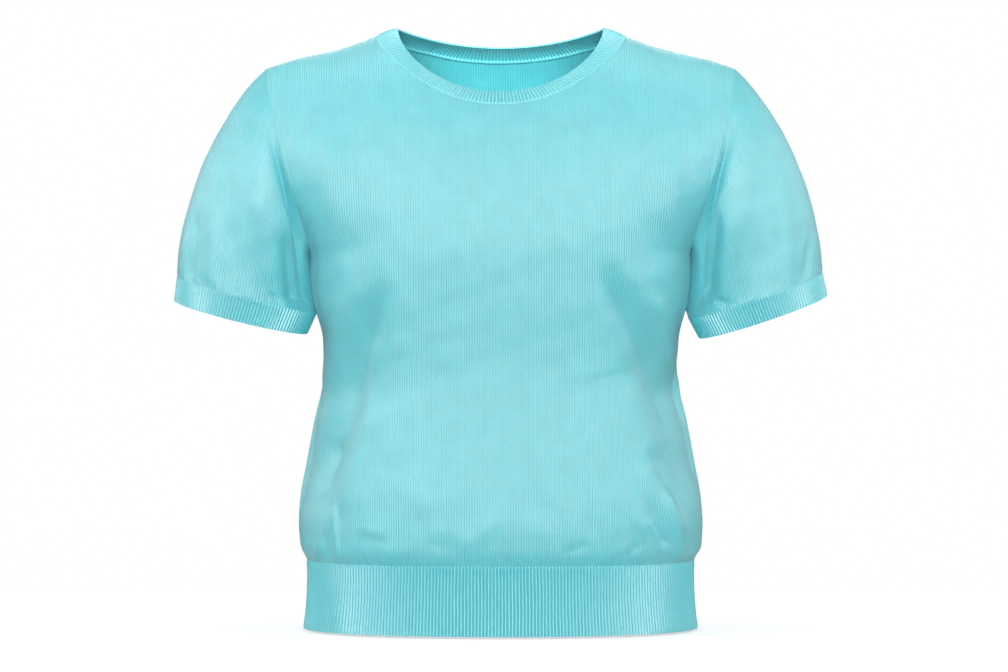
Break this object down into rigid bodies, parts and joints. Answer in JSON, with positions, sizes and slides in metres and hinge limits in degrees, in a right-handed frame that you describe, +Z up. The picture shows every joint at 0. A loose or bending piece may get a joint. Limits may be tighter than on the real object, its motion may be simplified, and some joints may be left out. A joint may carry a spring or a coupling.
{
  "type": "short-sleeve jumper",
  "caption": "Hollow short-sleeve round-neck knitted jumper, filled out as worn, with a ribbed neckband, ribbed cuffs and a deep ribbed hem.",
  "frame": {"origin": "midway between the two shoulder neck points, where the wearer's shoulders carry the garment", "axes": "+Z up, +X towards the wearer's left sleeve, the front faces -Y"},
  "size_m": [0.5749, 0.2307, 0.5271],
  "materials": {
    "knit": "fine plain knit in pale turquoise, soft and matt",
    "rib": "fine one-by-one rib knit in pale turquoise, soft and matt"
  },
  "bodies": {
    "root": {"front": "knit", "back": "knit", "sleeve_left": "knit", "sleeve_right": "knit", "hem_front": "rib", "hem_back": "rib", "neckband": "rib", "cuff_left": "rib", "cuff_right": "rib"}
  },
  "joints": []
}
